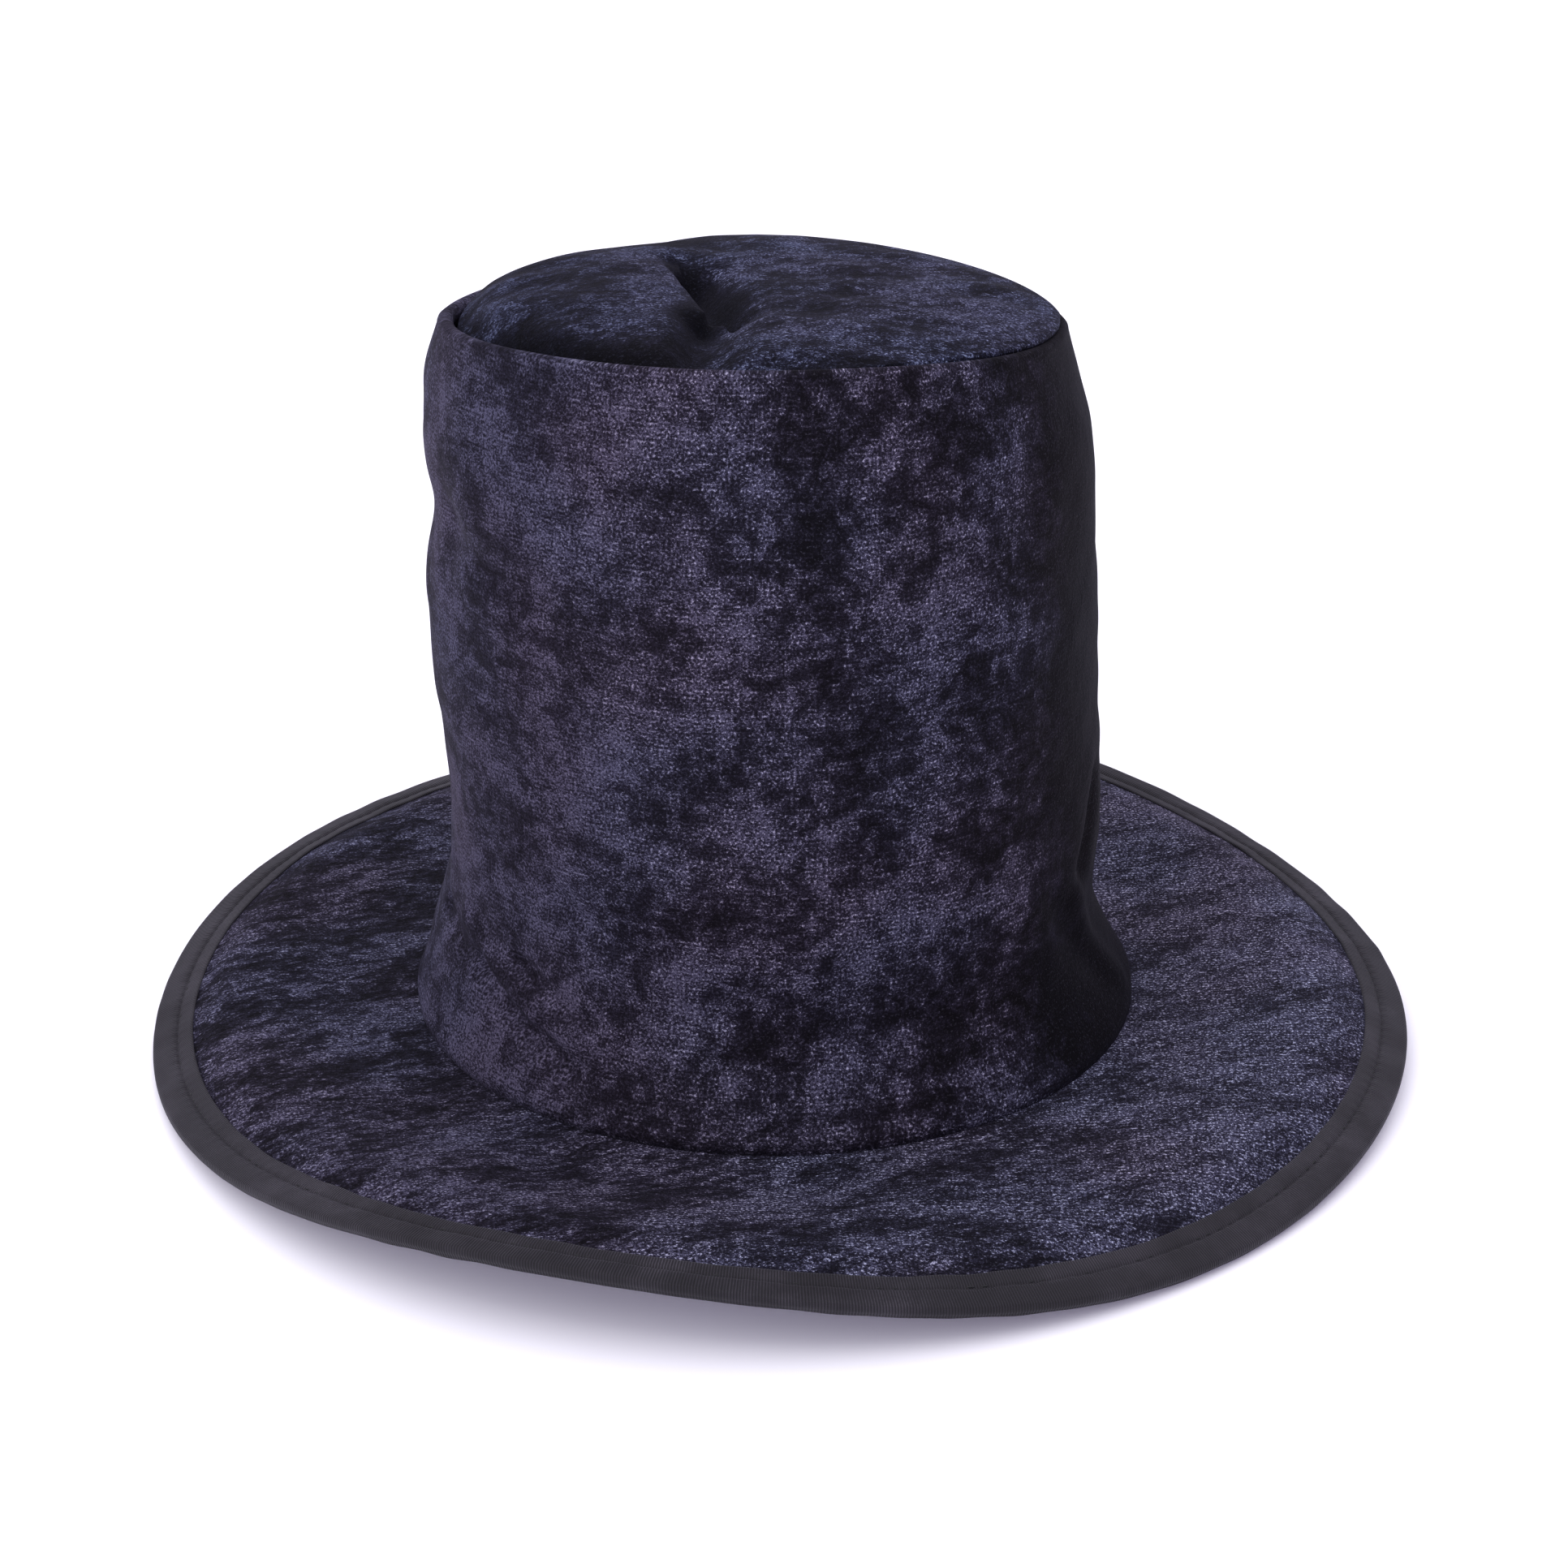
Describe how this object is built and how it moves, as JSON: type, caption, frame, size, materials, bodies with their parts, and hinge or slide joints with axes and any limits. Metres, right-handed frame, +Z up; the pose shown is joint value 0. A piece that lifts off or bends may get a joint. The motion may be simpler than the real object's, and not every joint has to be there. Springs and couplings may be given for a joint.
{
  "type": "top hat",
  "caption": "Soft velvet top hat: tall waisted stovepipe crown on a wide wavy brim bound with ribbed tape, foam stiffened, lined, with a sweatband.",
  "frame": {"origin": "on the surface the hat stands on, under the middle of the crown", "axes": "+Z up along the crown's axis, -Y towards the front of the hat, +X towards the hat's left side (right in a front view)"},
  "size_m": [0.3446, 0.3446, 0.2015],
  "materials": {
    "velvet": "crushed velvet with a mottled pile, dark navy to black",
    "foam": "thin closed sheet foam",
    "lining": "plain woven lining, slight sheen",
    "binding_tape": "finely ribbed matt tape, charcoal black",
    "boning": "satin plastic strip",
    "sweatband": "ribbed woven band",
    "join_tape": "narrow woven tape",
    "label": "plain satin label with nothing on it",
    "thread": "twisted sewing thread"
  },
  "bodies": {
    "root": {"crown_side_velvet": "velvet", "crown_tip_velvet": "velvet", "brim_upper_velvet": "velvet", "brim_under_velvet": "velvet", "crown_side_foam": "foam", "crown_tip_foam": "foam", "brim_foam_board": "foam", "crown_side_lining": "lining", "crown_tip_lining": "lining", "brim_binding": "binding_tape", "brim_edge_boning": "boning", "sweatband": "sweatband", "sweatband_join_tape": "join_tape", "blank_label": "label", "tip_seam_stitching": "thread", "base_seam_stitching": "thread", "back_seam_stitching": "thread", "sweatband_stitching": "thread", "binding_upper_stitching": "thread", "binding_under_stitching": "thread"}
  },
  "joints": []
}
